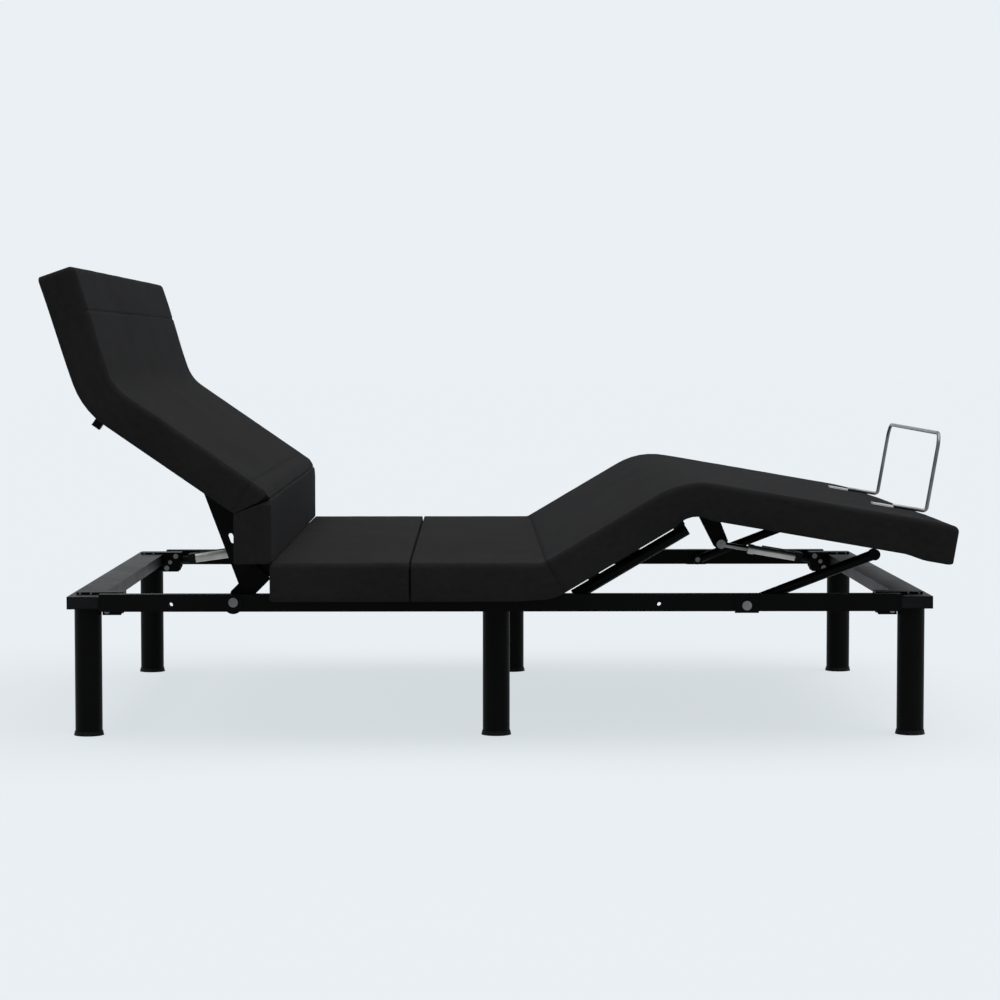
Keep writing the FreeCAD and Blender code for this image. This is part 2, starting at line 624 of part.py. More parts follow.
def calf_arms():
    """Round arms from the side rails to rollers under the calf section."""
    for side, sign in SIDES:
        name = "calf_arm_" + side
        frame = Placement(Vector(size("arm_pivot_x"), sign * size("arm_y"), size("arm_pivot_z")),
                          Rotation(Y_AXIS, -size("arm_angle")))
        half_end = size("arm_radius") + size("arm_end_rim")
        tube = rod(name + "_tube", frame, (0, 0, 0), (1, 0, 0), "$arm_radius", "$arm_length")
        ends = []
        for x in (0, size("arm_length")):
            ends.append(rod(name + "_end", frame, (x, -half_end, 0), (0, 1, 0),
                            "$arm_radius + 2 * $arm_end_rim", "2 * ($arm_radius + $arm_end_rim)"))
        arm = fuse(name + "_solid", [tube] + ends)
        hole = rod(name + "_hole", frame, (0, -2 * half_end, 0), (0, 1, 0),
                   "$pivot_bolt_radius + $pin_play", "4 * ($arm_radius + $arm_end_rim)")
        keep(cut(name, arm, hole), name)


def thigh_tubes():
    """Round tubes bolted under the thigh section on short spacers."""
    radius = size("thigh_tube_radius")
    underside = size("rod_depth") - size("deck_thickness")
    axis_z = underside - size("thigh_tube_drop") - radius
    start_x = size("thigh_tube_start")
    length = "$thigh_length - $thigh_tube_start - $thigh_tube_end_gap"
    for side, sign in SIDES:
        name = "thigh_tube_" + side
        frame = at(FRAMES["thigh"], 0, 0, sign * size("thigh_tube_y"))
        tube = rod(name + "_tube", frame, (start_x, 0, axis_z), (1, 0, 0), "$thigh_tube_radius", length)
        bore = rod(name + "_bore", frame, (start_x, 0, axis_z), (1, 0, 0),
                   "$thigh_tube_radius - $tube_wall", length)
        pieces = [cut(name + "_pipe", tube, bore)]
        for x in (size("thigh_spacer_near"), size("thigh_spacer_far")):
            low = (x, -radius / 2, axis_z + radius - size("tube_wall"))
            pieces.append(box(name + "_spacer", frame, low, "2 * $thigh_tube_radius",
                              "$thigh_tube_radius", "$thigh_tube_drop + $tube_wall"))
        keep(fuse(name, pieces), name)


def calf_crank_plate():
    """The plate under the calf section that the foot actuator works on."""
    underside = size("barrel_drop")
    pin = FOOT_PIN
    outline = [(92, underside), (158, underside), (165, -20), (pin[0] + 17, pin[1] + 10),
               (pin[0] + 15, pin[1] - 12), (pin[0], pin[1] - 18), (pin[0] - 16, pin[1] - 8),
               (128, -46), (120, -14)]
    frame = at(FRAMES["calf"], 0, 0, size("plate_y"))
    pin_hole = size("eye_hole_radius") + size("pin_play")
    keep(plate("calf_crank_plate", frame, outline, "$plate_thickness", [(pin[0], pin[1], pin_hole)]),
         "calf_crank_plate")


# ---------------------------------------------------------------- actuators

def actuator(end, pin):
    """Motor, gearbox and outer tube in one line to the working pin, and the rod that slides in them."""
    tail = Vector(size(end + "_tail_x"), size("actuator_y"), size(end + "_tail_z"))
    span = Vector(pin.x - tail.x, 0, pin.z - tail.z)
    slope = math.degrees(math.atan2(span.z, span.x))
    frame = Placement(tail, Rotation(Y_AXIS, -slope))
    name = end + "_actuator"
    half_eye = size("eye_width") / 2
    gear_x = size("gearbox_offset")
    eye = rod(name + "_tail_eye", frame, (0, -half_eye, 0), (0, 1, 0), "$eye_radius", "$eye_width")
    neck = rod(name + "_neck", frame, (0, 0, 0), (1, 0, 0), "$neck_radius", "$gearbox_offset")
    gear_low = (gear_x, -size("eye_radius") - size("gearbox_rim"), -size("motor_radius"))
    gearbox = box(name + "_gearbox", frame, gear_low, "$gearbox_length",
                  "$motor_y_offset + $motor_radius + $eye_radius + $gearbox_rim", "2 * $motor_radius")
    motor = rod(name + "_can", frame, (gear_x, size("motor_y_offset"), 0), (1, 0, 0), "$motor_radius",
                "$motor_length")
    pin_bore = rod(name + "_tail_bore", frame, (0, -2 * half_eye, 0), (0, 1, 0), "$eye_hole_radius",
                   "2 * $eye_width")
    housing = fuse(name + "_housing", [eye, neck, gearbox, motor])
    rod_bore = rod(name + "_rod_bore", frame, (size("bore_start"), 0, 0), (1, 0, 0),
                   "$actuator_rod_radius + $rod_play", "$motor_length")
    tools = fuse(name + "_tools", [pin_bore, rod_bore])
    keep(cut(name + "_motor", housing, tools), name + "_motor")
    tube_start = gear_x + size("gearbox_length")
    tube_length = span.Length - tube_start - size(end + "_rod_showing")
    tube = rod(name + "_barrel", frame, (tube_start, 0, 0), (1, 0, 0), "$actuator_tube_radius",
               str(tube_length))
    collar_start = tube_start + tube_length - size("collar_length")
    collar = rod(name + "_collar", frame, (collar_start, 0, 0), (1, 0, 0),
                 "$actuator_tube_radius + $collar_rim", "$collar_length")
    shaft_hole = rod(name + "_barrel_bore", frame, (tube_start - 1, 0, 0), (1, 0, 0),
                     "$actuator_rod_radius + $rod_play", str(tube_length + 2))
    keep(cut(name + "_tube", fuse(name + "_barrel_solid", [tube, collar]), shaft_hole), name + "_tube")
    inner_end = size("rod_start")
    shaft = rod(name + "_shaft", frame, (inner_end, 0, 0), (1, 0, 0), "$actuator_rod_radius",
                str(span.Length - inner_end))
    tip = rod(name + "_tip_eye", frame, (span.Length, -half_eye, 0), (0, 1, 0), "$eye_radius",
              "$eye_width")
    head_start = -half_eye - size("tip_head_height")
    tip_head = rod(name + "_tip_head", frame, (span.Length, head_start, 0), (0, 1, 0),
                   "$tip_head_radius", "$eye_width + 2 * $tip_head_height")
    keep(fuse(name + "_rod", [shaft, tip, tip_head]), name + "_rod")


def actuators():
    """The head actuator and the foot actuator, both on the left side."""
    actuator("head", at(FRAMES["head"], *HEAD_PIN).Base)
    actuator("foot", at(FRAMES["calf"], *FOOT_PIN).Base)


# ---------------------------------------------------------------- retainer bar

def retainer_bar():
    """One bent wire: two feet along the calf section, two posts and the bar across them."""
    bend = size("retainer_bend")
    half = size("retainer_width") / 2
    wire_z = BARREL_TOP + size("wire_radius") + size("retainer_lift")
    top_z = BARREL_TOP + size("retainer_height")
    post_x = size("retainer_x")
    foot_x = post_x - size("retainer_foot_length")
    corner = size("retainer_corner")
    lift = 1 - math.sqrt(0.5)

    def arc(start, middle, end):
        return Part.Arc(Vector(*start), Vector(*middle), Vector(*end)).toShape()

    def line(start, end):
        return Part.LineSegment(Vector(*start), Vector(*end)).toShape()

    right = [line((foot_x, -half, wire_z), (post_x - corner, -half, wire_z)),
             arc((post_x - corner, -half, wire_z),
                 (post_x - corner * lift, -half, wire_z + corner * lift),
                 (post_x, -half, wire_z + corner)),
             line((post_x, -half, wire_z + corner), (post_x, -half, top_z - bend)),
             arc((post_x, -half, top_z - bend), (post_x, -half + bend * lift, top_z - bend * lift),
                 (post_x, -half + bend, top_z))]
    across = [line((post_x, -half + bend, top_z), (post_x, half - bend, top_z))]
    left = [arc((post_x, half - bend, top_z), (post_x, half - bend * lift, top_z - bend * lift),
                (post_x, half, top_z - bend)),
            line((post_x, half, top_z - bend), (post_x, half, wire_z + corner)),
            arc((post_x, half, wire_z + corner), (post_x - corner * lift, half, wire_z + corner * lift),
                (post_x - corner, half, wire_z)),
            line((post_x - corner, half, wire_z), (foot_x, half, wire_z))]
    path = Part.Wire(right + across + left)
    ring = Part.makeCircle(size("wire_radius"), Vector(foot_x, -half, wire_z), Vector(1, 0, 0))
    bar = doc.addObject("Part::Feature", "retainer_bar")
    bar.Shape = path.makePipeShell([Part.Wire([ring])], True, False)
    bar.Placement = FRAMES["calf"]
    keep(bar, "retainer_bar")
    clips = []
    for side, sign in SIDES:
        low = (foot_x - size("clip_length"), sign * half - size("clip_width") / 2,
               BARREL_TOP + size("clip_lift"))
        clips.append(box("retainer_clip", FRAMES["calf"], low, "$clip_length", "$clip_width",
                         "$clip_thickness"))
    keep(group("retainer_clips", clips), "retainer_clips")


def write_parts():
    """Check every object, then write each sub-part to its own file."""
    doc.recompute()
    for item in doc.Objects:
        if "Invalid" in item.State or "Error" in item.State:
            raise RuntimeError("%s did not build: %s" % (item.Label, item.State))
    os.makedirs("parts", exist_ok=True)
    for piece in subparts:
        shape = piece.Shape
        if shape.isNull() or not shape.isValid():
            raise RuntimeError("%s has no valid shape" % piece.Label)
        shape.exportStep("parts/%s.step" % piece.Label)
        print("%-28s solids %d volume %.0f" % (piece.Label, len(shape.Solids), shape.Volume))
    print(len(subparts), "sub-parts")


crossbars()
for rail_side, rail_sign in SIDES:
    side_rail(rail_side, rail_sign)
end_caps()
legs()
keep(group("frame_bolts", corner_brackets() + pivot_bolts() + tail_pins()), "frame_bolts")
deck()
hinges()
head_side_plates()
pillow_stops()
head_link_arms()
calf_arms()
thigh_tubes()
calf_crank_plate()
actuators()
retainer_bar()
write_parts()
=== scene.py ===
"""Looks of the adjustable bed base: upholstered pads, finishes, light and camera.

The frame's joints say where each section turns; every pad is worked out from them. Lengths inside the
pad functions are millimetres, as in the CAD, and become metres when a mesh is made.
"""
import json
import math

import bpy
import numpy as np
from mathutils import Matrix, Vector, noise


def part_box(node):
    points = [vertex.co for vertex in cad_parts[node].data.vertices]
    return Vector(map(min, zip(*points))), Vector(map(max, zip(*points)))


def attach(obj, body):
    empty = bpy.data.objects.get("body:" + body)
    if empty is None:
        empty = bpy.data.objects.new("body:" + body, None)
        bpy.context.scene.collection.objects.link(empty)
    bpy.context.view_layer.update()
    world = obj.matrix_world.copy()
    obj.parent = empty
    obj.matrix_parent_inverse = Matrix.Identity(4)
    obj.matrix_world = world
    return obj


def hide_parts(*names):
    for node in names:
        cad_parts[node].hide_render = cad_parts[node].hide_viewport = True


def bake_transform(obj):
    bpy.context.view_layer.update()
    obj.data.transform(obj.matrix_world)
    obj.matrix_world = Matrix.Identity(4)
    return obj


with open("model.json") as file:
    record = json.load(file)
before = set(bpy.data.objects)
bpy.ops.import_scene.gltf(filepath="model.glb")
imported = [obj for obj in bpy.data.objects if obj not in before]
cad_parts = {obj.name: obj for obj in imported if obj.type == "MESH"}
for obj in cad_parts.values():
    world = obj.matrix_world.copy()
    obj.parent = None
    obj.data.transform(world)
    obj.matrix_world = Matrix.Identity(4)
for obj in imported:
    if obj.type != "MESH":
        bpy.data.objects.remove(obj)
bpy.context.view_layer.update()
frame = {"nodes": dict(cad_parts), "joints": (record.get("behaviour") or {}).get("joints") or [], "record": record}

MM = 0.001

# ---------------------------------------------------------------- sizes worked out from the frame

JOINTS = {joint["name"]: joint for joint in frame["joints"]}


def joint_point(name):
    """A joint's axis in the XZ plane, in millimetres."""
    x, _, z = JOINTS[name]["pos_m"]
    return np.array([x, z]) / MM


def joint_travel(name):
    """The whole travel of a joint in degrees."""
    low, high = JOINTS[name]["range_deg"]
    return high - low


def node_box(name):
    """Lowest and highest corner of a CAD node, in millimetres."""
    low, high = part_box(name)
    return np.array(low) / MM, np.array(high) / MM


SEAT_LOW, SEAT_HIGH = node_box("seat_head_cushion")
SEAT_FOOT_LOW, _ = node_box("seat_foot_cushion")
SEAT_BOARD_LOW, _ = node_box("seat_board")
HALF_WIDTH = SEAT_HIGH[1]
FRAME_SIDE = node_box("crossbar_end_caps")[1][1]
DECK_TOP = SEAT_HIGH[2]
THICKNESS = DECK_TOP - SEAT_BOARD_LOW[2]

LUMBAR_SLOPE = -joint_travel("head_lift")
HEAD_SLOPE = LUMBAR_SLOPE + joint_travel("back_hinge")
PILLOW_SLOPE = HEAD_SLOPE - joint_travel("pillow_tilt")
THIGH_SLOPE = joint_travel("thigh_lift")
CALF_SLOPE = THIGH_SLOPE - joint_travel("knee_hinge")

LUMBAR_AXIS = joint_point("head_lift")
BACK_AXIS = joint_point("back_hinge")
PILLOW_AXIS = joint_point("pillow_tilt")
THIGH_AXIS = joint_point("thigh_lift")
KNEE_AXIS = joint_point("knee_hinge")

ROD_HEIGHT = DECK_TOP - THIGH_AXIS[1]
ROD_GAP = SEAT_LOW[0] - LUMBAR_AXIS[0]


def along_slope(slope):
    """Unit vector along a section, and the one square to it on its top side."""
    turn = math.radians(slope)
    return np.array([math.cos(turn), math.sin(turn)]), np.array([-math.sin(turn), math.cos(turn)])


def section_reach(node, axis, slope):
    """How far a cushion runs along its section, before and after an axis, and its top's height."""
    points = np.array([vertex.co for vertex in frame["nodes"][node].data.vertices]) / MM
    along, normal = along_slope(slope)
    flat = points[:, [0, 2]] - axis
    return (flat @ along).min(), (flat @ along).max(), (flat @ normal).max()


PILLOW_START, _, _ = section_reach("pillow_cushion", PILLOW_AXIS, PILLOW_SLOPE)
_, HEAD_END, _ = section_reach("head_cushion", PILLOW_AXIS, HEAD_SLOPE)
_, LUMBAR_END, BARREL_HEIGHT = section_reach("lumbar_cushion", BACK_AXIS, LUMBAR_SLOPE)
THIGH_START, _, _ = section_reach("thigh_cushion", KNEE_AXIS, THIGH_SLOPE)
_, CALF_END, _ = section_reach("calf_cushion", KNEE_AXIS, CALF_SLOPE)

# ---------------------------------------------------------------- sizes of the covers

# edges: the usual radius, a seam's radius, and how far joined covers lap
EDGE = 11.0
TIGHT = 0.5
LAP = 0.8
# the filling: crown of the top, its ripples, and how far the sides swell
CROWN = 0.9
RIPPLE = 0.35
SIDE_PUFF = 1.2
SIDE_RIPPLE = 0.5
# spacing of the mesh lines along a pad with a bend, along a flat pad, across it and through it
BEND_SPACING = 12
FLAT_SPACING = 16
ACROSS_SPACING = 18
THROUGH_SPACING = 9
# how far each bend runs to both sides of its joint
PILLOW_ZONE = 32.0
KNEE_ZONE = 34.0
SEAT_CREASE_ZONE = 6.0
# the pillow: its seam's distance from the end, the lean of the section and its plump top
PILLOW_SEAM = 92.0
PILLOW_LEAN = 4.5
PILLOW_PLUMP = 2.5
# the fold over the back hinge: angles in degrees, the rims' radii and the notch at its corners
HEAD_FAN = HEAD_SLOPE - LUMBAR_SLOPE
FOLD_ANGLE = 23.0
FOLD_GAP = 0.06
HEAD_RIM = 84.0
LUMBAR_RIM = 84.0
LUMBAR_BULGE = 1.2
HINGE_CLEAR = 8.0
NOTCH = 9.0
NOTCH_REACH = 12.0
SIDE_GAP = 2.2
END_GAP = 1.0
# the seat: how far the lumbar tucks behind it, its hanging sides and its overhang at the head end
SEAT_TUCK = 3.0
SEAT_SKIRT = 3.5
SEAT_OVERHANG = 3.5
# the foot end: length and depth of its roll, how low it hangs beside the frame
FOOT_ROLL = 60.0
FOOT_DROP = 2.5
FOOT_BULGE = 6.5
# how much thinner the leg pad is over the knee hinge
HINGE_ROOM = 7.0
# one thread of the weave, in metres
THREAD_PITCH = 0.0016

# ---------------------------------------------------------------- how a section bends


def straight_station(origin, slope, height):
    """A flat section: its top point and normal at a distance u from the origin."""
    along, normal = along_slope(slope)

    def station(u):
        return origin + along * u + normal * height, normal

    return station


def bend_station(axis, slope_before, slope_after, height, zone):
    """Two flat sections joined by an arc that is tangent to both, zone long on each side."""
    turn = math.radians(slope_after - slope_before)
    half_tangent = math.tan(abs(turn) / 2)
    hollow = 1 if turn > 0 else -1
    radius = (zone - hollow * height * half_tangent) / half_tangent
    before = straight_station(axis, slope_before, height)
    after = straight_station(axis, slope_after, height)
    start, start_normal = before(-zone)
    centre = start + start_normal * (hollow * radius)

    def station(u):
        if u <= -zone:
            return before(u)
        if u >= zone:
            return after(u)
        share = (u + zone) / (2 * zone)
        _, normal = along_slope(slope_before + share * (slope_after - slope_before))
        return centre - normal * (hollow * radius), normal

    return station


# ---------------------------------------------------------------- padded meshes

EDGE_STEPS = (0.0, 0.2, 0.41, 0.67, 1.0)


def edge_lines(low, high, low_radius, high_radius, spacing):
    """Positions along one direction: close together in both rounded edges, evenly spaced between."""
    start = low + low_radius
    end = high - high_radius
    count = max(2, round((end - start) / spacing))
    lines = [start - low_radius * step for step in EDGE_STEPS[:0:-1]]
    lines += [start + (end - start) * index / count for index in range(count + 1)]
    lines += [end + high_radius * step for step in EDGE_STEPS[1:]]
    return lines


def overshoot(value, low, high, low_radius, high_radius):
    """How far a position lies in a rounded edge, from -1 at the low face to 1 at the high face."""
    if value < low + low_radius:
        return (value - low - low_radius) / low_radius
    if value > high - high_radius:
        return (value - high + high_radius) / high_radius
    return 0.0


def round_corner(point, low, high, low_radius, high_radius):
    """The point of a block's surface moved onto its rounded edges and corners."""
    excess = [overshoot(*values) for values in zip(point, low, high, low_radius, high_radius)]
    length = math.sqrt(sum(value * value for value in excess))
    if length <= 1:
        return list(point)
    moved = []
    for value, over, low_r, high_r in zip(point, excess, low_radius, high_radius):
        radius = low_r if over < 0 else high_r
        moved.append(value - over * radius + over / length * radius)
    return moved


def soft_noise(u, y, size, seed):
    """Smooth noise from about -1 to 1 over the flat pad."""
    return noise.noise(Vector((u / size, y / size, seed)))


def pad_mesh(name, lines, place):
    """A closed mesh over the surface of a block of lines; place puts each flat point in the frame."""
    counts = [len(direction) - 1 for direction in lines]
    numbers = {}
    points = []
    flats = []

    def number(corner):
        if corner not in numbers:
            flat = [lines[axis][corner[axis]] for axis in range(3)]
            spot, cloth = place(flat)
            numbers[corner] = len(points)
            points.append([value * MM for value in spot])
            flats.append([value * MM for value in cloth])
        return numbers[corner]

    faces = []
    kinds = []
    for axis in range(3):
        first, second = [other for other in range(3) if other != axis]
        for end in (0, counts[axis]):
            for i in range(counts[first]):
                for j in range(counts[second]):
                    corners = []
                    for di, dj in ((0, 0), (1, 0), (1, 1), (0, 1)):
                        corner = [0, 0, 0]
                        corner[axis] = end
                        corner[first] = i + di
                        corner[second] = j + dj
                        corners.append(number(tuple(corner)))
                    outward = (end > 0) == (axis != 1)
                    faces.append(corners if outward else corners[::-1])
                    kinds.append(1 if axis == 2 and end == 0 else 0)
    mesh = bpy.data.meshes.new(name)
    mesh.from_pydata(points, [], faces)
    mesh.polygons.foreach_set("material_index", kinds)
    mesh.polygons.foreach_set("use_smooth", [True] * len(faces))
    attribute = mesh.attributes.new("cloth_position", "FLOAT_VECTOR", "POINT")
    attribute.data.foreach_set("vector", np.array(flats, np.float32).ravel())
    mesh.validate()
    mesh.update()
    return mesh


def build_pad(name, span, station, edges, cloth_start, spacing=FLAT_SPACING, shape_cloth=None,
              depth_at=None, pinch=None, extra_lines=()):
    """One upholstered pad.

    span is where it starts and ends along its sections; edges are the edge radii at its start, end,
    sides, underside and top; cloth_start is where the cover's cloth begins on the flat bed, so that
    neighbouring covers match. shape_cloth adds seams and folds to the top, depth_at changes the
    thickness along the pad and pinch moves points along it.
    """
    start_radius, end_radius, side_radius, under_radius, top_radius = edges
    low = (span[0], -HALF_WIDTH, -THICKNESS)
    high = (span[1], HALF_WIDTH, 0.0)
    low_radius = (start_radius, side_radius, under_radius)
    high_radius = (end_radius, side_radius, top_radius)
    along = edge_lines(low[0], high[0], start_radius, end_radius, spacing)
    along = sorted(set(along) | set(extra_lines))
    across = edge_lines(low[1], high[1], side_radius, side_radius, ACROSS_SPACING)
    through = edge_lines(low[2], high[2], under_radius, top_radius, THROUGH_SPACING)

    def place(flat):
        u, y, v = round_corner(flat, low, high, low_radius, high_radius)
        cloth_u = u - span[0] + cloth_start
        share = 1 + v / THICKNESS
        inside = max(0.0, 1 - (abs(y) / HALF_WIDTH) ** 8)
        lift = share * inside * CROWN * (1 + soft_noise(cloth_u, y, 140, 1.0))
        lift += share * RIPPLE * soft_noise(cloth_u, y, 38, 4.0)
        if shape_cloth:
            lift += shape_cloth(u, y, share)
        if abs(flat[1]) == HALF_WIDTH:
            puff = SIDE_PUFF * math.sin(math.pi * min(1.0, max(0.0, share)))
            y += math.copysign(puff + SIDE_RIPPLE * soft_noise(cloth_u, v, 60, 6.0), y)
        if pinch:
            u += pinch(u, y, v)
        top, normal = station(u)
        depth = v + lift
        if depth_at:
            depth *= depth_at(u)
        spot = top + normal * depth
        on_side = abs(flat[1]) == HALF_WIDTH
        return (spot[0], y, spot[1]), (cloth_u, y + math.copysign(v, y) if on_side else y, v)

    mesh = pad_mesh(name, [along, across, through], place)
    pad = bpy.data.objects.new(name, mesh)
    bpy.context.scene.collection.objects.link(pad)
    pad.data.materials.append(MATERIALS["upholstery"])
    pad.data.materials.append(MATERIALS["dust_cover"])
    return pad


def blend_about(pad):
    """Bakes the pad's placement into its mesh."""
    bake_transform(pad)


# ---------------------------------------------------------------- the six pads


def groove(distance, depth, width):
    """A soft seam groove."""
    return -depth * math.exp(-((distance / width) ** 2))


def ramp(value, start, end):
    """A smooth step from 0 at start to 1 at end."""
    share = min(1.0, max(0.0, (value - start) / (end - start)))
    return share * share * (3 - 2 * share)


def back_cloth(u, y, share):
    """The seam across the pillow, the soft folds in its bend and the pillow's slight lean forward."""
    seam = u - PILLOW_START - PILLOW_SEAM
    lift = groove(seam, 1.8, 2.6) + 0.7 * ramp(seam, -2.0, 4.0) * math.exp(-max(0.0, seam) / 60)
    lift += math.exp(-((u / PILLOW_ZONE) ** 2)) * soft_noise(u * 2.2, y, 95, 41)
    lean = PILLOW_LEAN + share * PILLOW_PLUMP
    return share * lift + lean * ramp(-u, PILLOW_ZONE, -PILLOW_START - EDGE)


def make_back_pad():
    """Pillow and head sections under one cover that bends at the pillow joint."""
    station = bend_station(PILLOW_AXIS, PILLOW_SLOPE, HEAD_SLOPE, ROD_HEIGHT, PILLOW_ZONE)
    seam_u = PILLOW_START + PILLOW_SEAM
    seam_lines = [seam_u + step * 1.6 for step in range(-5, 6)]
    end = HEAD_END + END_GAP
    pad = build_pad("back_upholstery", (PILLOW_START, end + LAP), station,
                    (EDGE + 1, TIGHT, EDGE, 5, EDGE), PILLOW_START - end, BEND_SPACING, back_cloth,
                    extra_lines=seam_lines)
    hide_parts("pillow_cushion", "head_cushion", "pillow_board", "head_board")
    blend_about(pad)
    return pad


def fan_station(angle_at, slope_angle, rim_limit):
    """Stations of a wedge over the back hinge.

    angle_at(u) is measured from the lumbar section's end face; the wedge carries on the flat top of
    the section at slope_angle until it reaches rim_limit.
    """

    def station(u):
        angle = angle_at(u)
        away = math.radians(angle - slope_angle)
        reach = min(rim_limit, BARREL_HEIGHT / math.cos(away))
        outward = np.array([math.cos(math.radians(angle)), math.sin(math.radians(angle))])
        return BACK_AXIS + outward * reach, outward

    return station


def fan_depth(station):
    """How much deeper or shallower a wedge is than a flat section."""

    def depth_at(u):
        top, _ = station(u)
        return (np.linalg.norm(top - BACK_AXIS) - HINGE_CLEAR) / THICKNESS

    return depth_at


def corner_notch(u_end, direction):
    """Pulls a wedge back from the fold at its two front corners."""

    def pinch(u, y, v):
        near_side = math.exp(-(((HALF_WIDTH - abs(y)) / NOTCH_REACH) ** 2))
        near_top = math.exp(-((v / NOTCH_REACH) ** 2))
        near_fold = math.exp(-(((u - u_end) / NOTCH_REACH) ** 2))
        return direction * near_side * near_fold * (SIDE_GAP + NOTCH * near_top)

    return pinch


def blend_back_hinge(pad):
    """Bakes a wedge's placement into its mesh, as blend_about does."""
    blend_about(pad)


def make_back_gusset():
    """The soft wedge that carries the head section's cover over the back hinge."""
    length = math.radians(HEAD_FAN - FOLD_ANGLE - FOLD_GAP) * HEAD_RIM
    start = -LAP
    station = fan_station(lambda u: HEAD_FAN - math.degrees(u / HEAD_RIM), HEAD_FAN, HEAD_RIM)
    pad = build_pad("back_gusset", (start, length), station, (TIGHT, TIGHT, EDGE, 3, EDGE), start, 3,
                    depth_at=fan_depth(station), pinch=corner_notch(length, -1))
    blend_back_hinge(pad)
    return pad


def make_lumbar_pad():
    """The upright lumbar section with its bulged upper end."""
    flat = straight_station(BACK_AXIS, LUMBAR_SLOPE, BARREL_HEIGHT)
    fan = fan_station(lambda u: math.degrees(-u / LUMBAR_RIM), 0.0, LUMBAR_RIM)
    wedge_depth = fan_depth(fan)
    start = -math.radians(FOLD_ANGLE - FOLD_GAP) * LUMBAR_RIM

    def station(u):
        return flat(u) if u >= 0 else fan(u)

    def depth_at(u):
        return 1.0 if u >= 0 else wedge_depth(u)

    def bulge(u, y, share):
        return share * LUMBAR_BULGE * ramp(u, start, 0.0)

    pad = build_pad("lumbar_upholstery", (start, LUMBAR_END + SEAT_TUCK), station, (TIGHT, 4, EDGE, 5, EDGE),
                    start, 5, bulge, depth_at, corner_notch(start, 1))
    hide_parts("lumbar_cushion", "lumbar_board")
    blend_back_hinge(pad)
    return pad


def make_seat_pads():
    """The fixed seat: a head half, and a foot half whose cover follows the thigh section."""
    origin = np.array([0.0, DECK_TOP])
    flat = straight_station(origin, 0.0, 0.0)

    def skirt(u, y, share):
        return -SEAT_SKIRT * (1 - share) * ramp(abs(y), HALF_WIDTH - 100, HALF_WIDTH - 60)

    head_start = SEAT_LOW[0] - SEAT_OVERHANG
    head_half = build_pad("seat_head_upholstery", (head_start, SEAT_HIGH[0]), flat,
                          (8, 2.5, EDGE, 5, EDGE), head_start, FLAT_SPACING, skirt)
    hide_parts("seat_head_cushion", "seat_board")
    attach(head_half, "frame")
    station = bend_station(THIGH_AXIS, 0.0, THIGH_SLOPE, ROD_HEIGHT, SEAT_CREASE_ZONE)
    start = SEAT_FOOT_LOW[0] - THIGH_AXIS[0]

    def foot_skirt(u, y, share):
        return skirt(u, y, share) * ramp(-u, 0, 60)

    crease_lines = [SEAT_CREASE_ZONE * (step / 5 - 1) for step in range(11)]
    foot_half = build_pad("seat_foot_upholstery", (start, SEAT_CREASE_ZONE + LAP), station,
                          (2.5, TIGHT, EDGE, 5, EDGE), SEAT_FOOT_LOW[0], FLAT_SPACING, foot_skirt,
                          extra_lines=crease_lines)
    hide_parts("seat_foot_cushion")
    blend_about(foot_half)
    return head_half, foot_half


def leg_cloth(u, y, share):
    """The foot end rolls down and hangs lower beside the frame; the knee's cover has soft folds."""
    past = ramp(u, CALF_END - FOOT_ROLL, CALF_END)
    hang = ramp(u, CALF_END - 100, CALF_END - 50) * ramp(abs(y), FRAME_SIDE + 10, FRAME_SIDE + 60)
    fold = 0.8 * math.exp(-((u / 60.0) ** 2)) * soft_noise(u * 2, y, 110, 17)
    return share * (fold - FOOT_DROP * past) - (1 - share) * FOOT_BULGE * hang


def make_leg_pad():
    """Thigh and calf sections under one cover that bends at the knee."""
    station = bend_station(KNEE_AXIS, THIGH_SLOPE, CALF_SLOPE, BARREL_HEIGHT, KNEE_ZONE)
    start = THIGH_START - (ROD_GAP - SEAT_CREASE_ZONE)

    def depth_at(u):
        return 1 - HINGE_ROOM / THICKNESS * max(0.0, 1 - (u / KNEE_ZONE) ** 2)

    pad = build_pad("leg_upholstery", (start, CALF_END), station, (TIGHT, 13, EDGE, 5, EDGE),
                    THIGH_AXIS[0] + SEAT_CREASE_ZONE, BEND_SPACING, leg_cloth, depth_at)
    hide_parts("thigh_cushion", "calf_cushion", "thigh_board", "calf_board")
    blend_about(pad)
    return pad


# ---------------------------------------------------------------- materials


def new_material(name):
    """A node material, its node tree and its main shader."""
    material = bpy.data.materials.new(name)
    material.use_nodes = True
    tree = material.node_tree
    return material, tree, tree.nodes["Principled BSDF"]


def add_node(tree, kind, inputs=None, **settings):
    """A node with its settings and input values."""
    node = tree.nodes.new(kind)
    for key, value in settings.items():
        setattr(node, key, value)
    for key, value in (inputs or {}).items():
        node.inputs[key].default_value = value
    return node


def join(tree, source, target):
    """Link an output to an input."""
    tree.links.new(source, target)


def math_node(tree, operation, first, second=None):
    """A math step; each operand is an output socket or a number."""
    node = add_node(tree, "ShaderNodeMath", operation=operation)
    for index, operand in enumerate((first, second)):
        if operand is None:
            continue
        if isinstance(operand, (int, float)):
            node.inputs[index].default_value = operand
        else:
            join(tree, operand, node.inputs[index])
    return node.outputs[0]


def noise_node(tree, vector, scale, detail=3.0, roughness=0.5):
    """A noise value over a coordinate."""
    node = add_node(tree, "ShaderNodeTexNoise", {"Scale": scale, "Detail": detail, "Roughness": roughness})
    join(tree, vector, node.inputs["Vector"])
    return node.outputs["Fac"]


